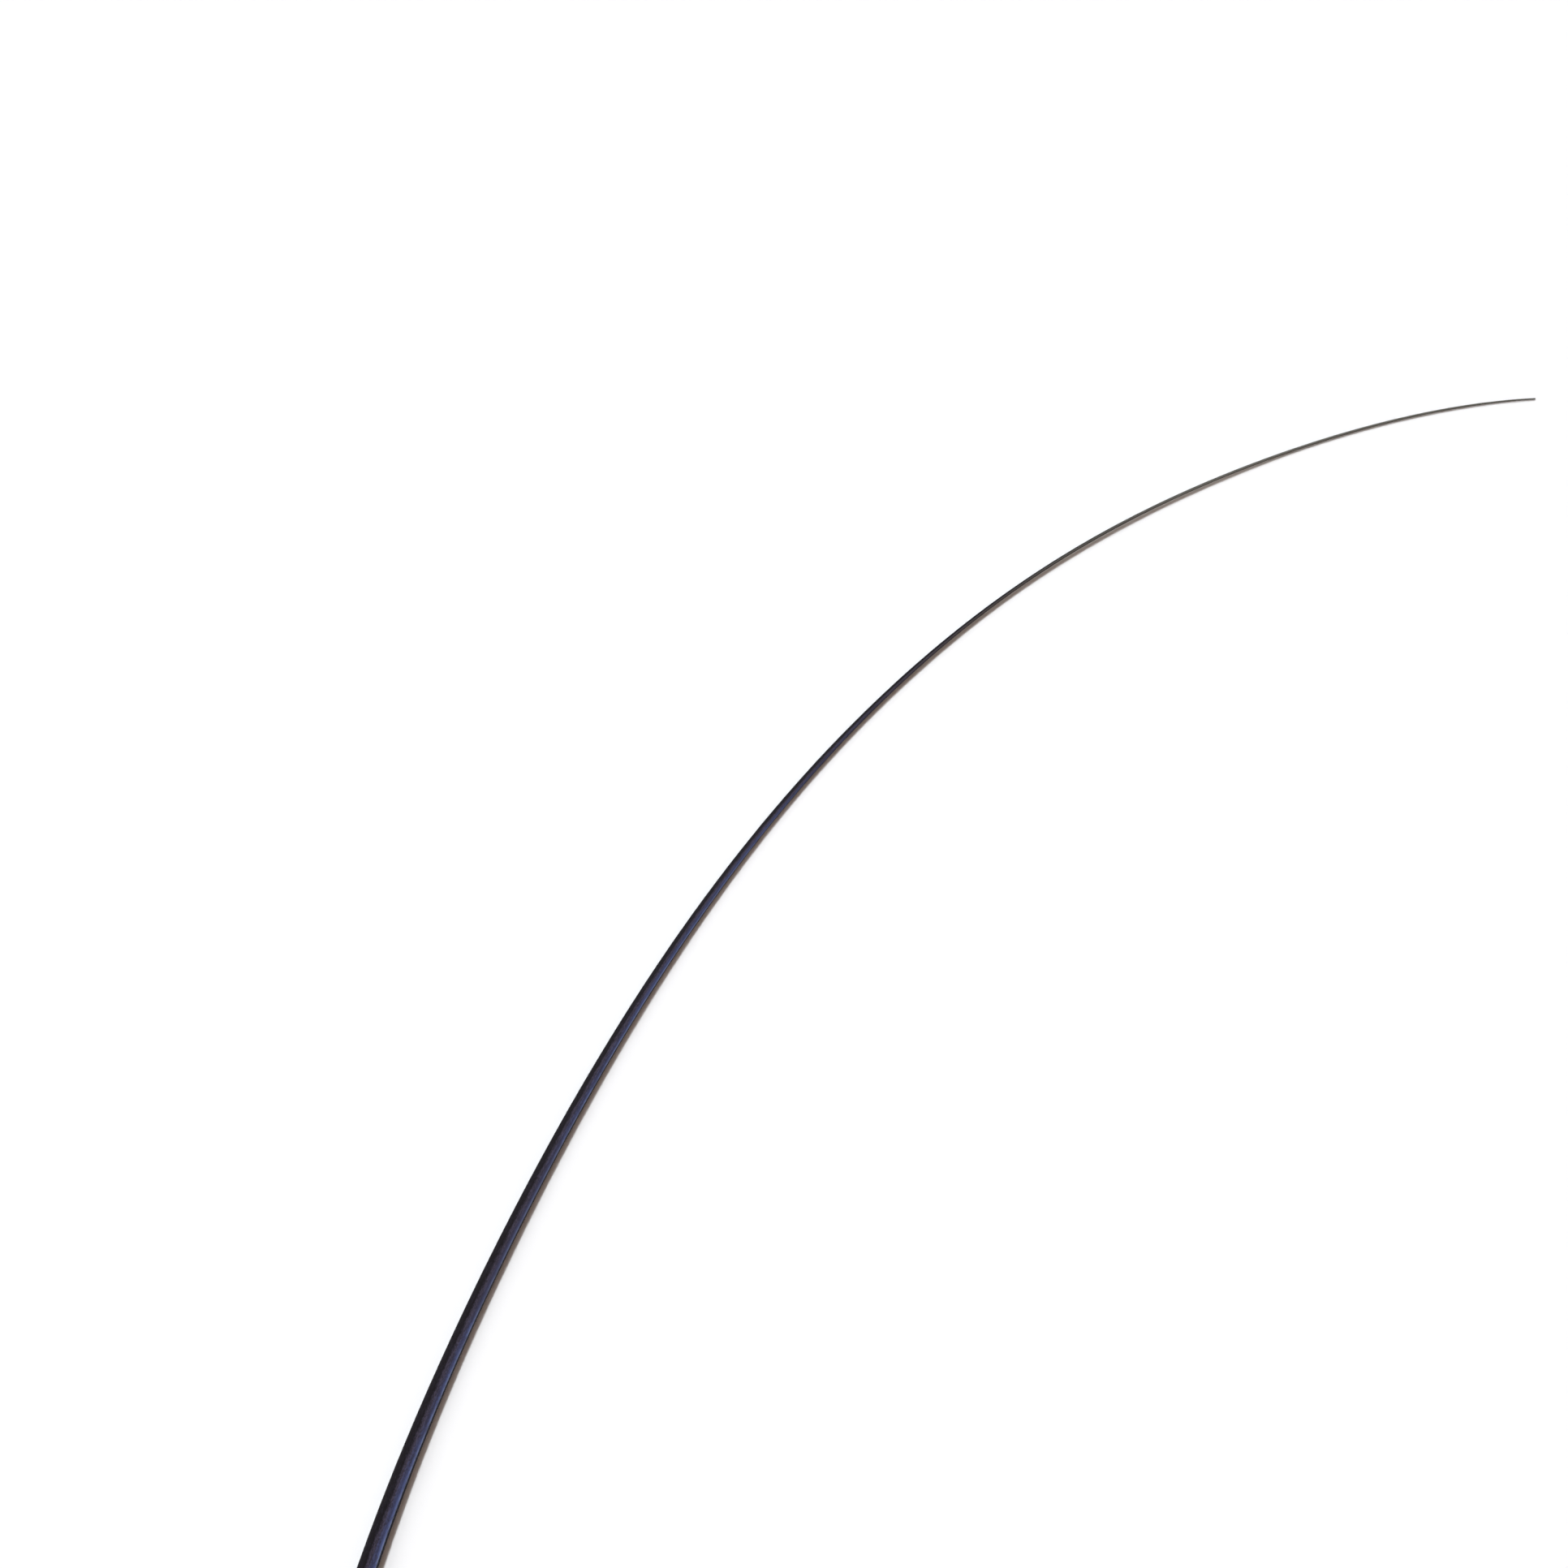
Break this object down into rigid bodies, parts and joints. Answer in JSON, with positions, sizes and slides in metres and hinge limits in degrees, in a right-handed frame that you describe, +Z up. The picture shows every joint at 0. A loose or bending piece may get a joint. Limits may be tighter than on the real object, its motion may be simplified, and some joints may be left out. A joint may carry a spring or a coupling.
{
  "type": "stripped ostrich quill",
  "caption": "Dyed ostrich feather shaft with its barbs stripped off: a ringed barrel, a grooved tapering bow and a whip-thin tip, lying on its flank.",
  "frame": {"origin": "middle of the quill's box, at the surface that it lies on", "axes": "+X along the chord from the base to the tip, +Y towards the dorsal side on which the bow is convex, +Z up from the surface"},
  "size_m": [0.417, 0.073, 0.0056],
  "materials": {
    "dyed_keratin": "natural keratin dyed blue-black: semi-gloss, near-black back, navy and violet-grey flanks, blue ventral ridge, thinner olive-grey dye at the tip"
  },
  "bodies": {
    "root": {"quill": "dyed_keratin"}
  },
  "joints": []
}
